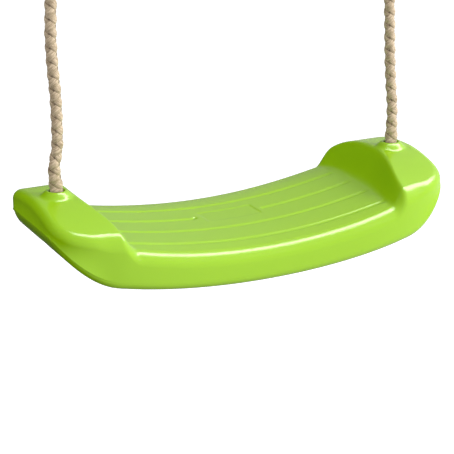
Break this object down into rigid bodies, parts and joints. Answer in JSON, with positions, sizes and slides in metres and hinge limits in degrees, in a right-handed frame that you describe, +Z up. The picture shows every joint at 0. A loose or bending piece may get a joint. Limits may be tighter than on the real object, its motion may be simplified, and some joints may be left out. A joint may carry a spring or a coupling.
{
  "type": "swing seat",
  "caption": "Moulded plastic swing seat with raised ends, hung on braided ropes from pivoting hangers that screw under a beam.",
  "frame": {"origin": "on the underside of the beam, midway between the two hangers, in the plane of their screw plates", "axes": "+X along the seat's length, +Y towards its back, +Z up into the beam"},
  "size_m": [0.4434, 0.188, 0.4496],
  "materials": {
    "seat_plastic": "satin lime green, fine moulded grain",
    "rope_fibre": "braided hemp-coloured synthetic fibre",
    "galvanised_steel": "dull galvanised",
    "bolt_zinc": "bright zinc",
    "aluminium_sleeve": "pressed, satin",
    "nylon": "natural nylon"
  },
  "bodies": {
    "beam_hangers": {"left_bracket": "galvanised_steel", "left_pivot_bolt": "bolt_zinc", "left_lock_nut": "bolt_zinc", "right_bracket": "galvanised_steel", "right_pivot_bolt": "bolt_zinc", "right_lock_nut": "bolt_zinc"},
    "left_hanger": {"left_stirrup": "galvanised_steel", "left_bush": "nylon", "left_thimble": "nylon", "left_ferrule": "aluminium_sleeve", "left_rope": "rope_fibre"},
    "right_hanger": {"right_stirrup": "galvanised_steel", "right_bush": "nylon", "right_thimble": "nylon", "right_ferrule": "aluminium_sleeve", "right_rope": "rope_fibre"},
    "seat": {"seat_top_shell": "seat_plastic", "seat_base_pan": "seat_plastic", "left_knot_cup": "seat_plastic", "right_knot_cup": "seat_plastic", "left_rope_tail": "rope_fibre", "left_washer": "bolt_zinc", "left_knot": "rope_fibre"},
    "right_tail": {"right_rope_tail": "rope_fibre", "right_washer": "bolt_zinc", "right_knot": "rope_fibre"}
  },
  "joints": [
    {"name": "left_swing", "type": "hinge", "parent": "beam_hangers", "child": "left_hanger", "pos_m": [-0.186, 0, -0.03], "axis": [1, 0, 0], "range_deg": [-50, 50]},
    {"name": "right_swing", "type": "hinge", "parent": "beam_hangers", "child": "right_hanger", "pos_m": [0.186, 0, -0.03], "axis": [1, 0, 0], "range_deg": [-50, 50]},
    {"name": "seat_tilt", "type": "hinge", "parent": "left_hanger", "child": "seat", "pos_m": [-0.19, 0, -0.356], "axis": [1, 0, 0], "range_deg": [-25, 25]},
    {"name": "right_tail_tilt", "type": "hinge", "parent": "right_hanger", "child": "right_tail", "pos_m": [0.1905, 0, -0.356], "axis": [1, 0, 0], "range_deg": [-25, 25]}
  ],
  "couplings": [
    {"joint": "right_swing", "follows": "left_swing", "ratio": 1},
    {"joint": "right_tail_tilt", "follows": "seat_tilt", "ratio": 1}
  ]
}
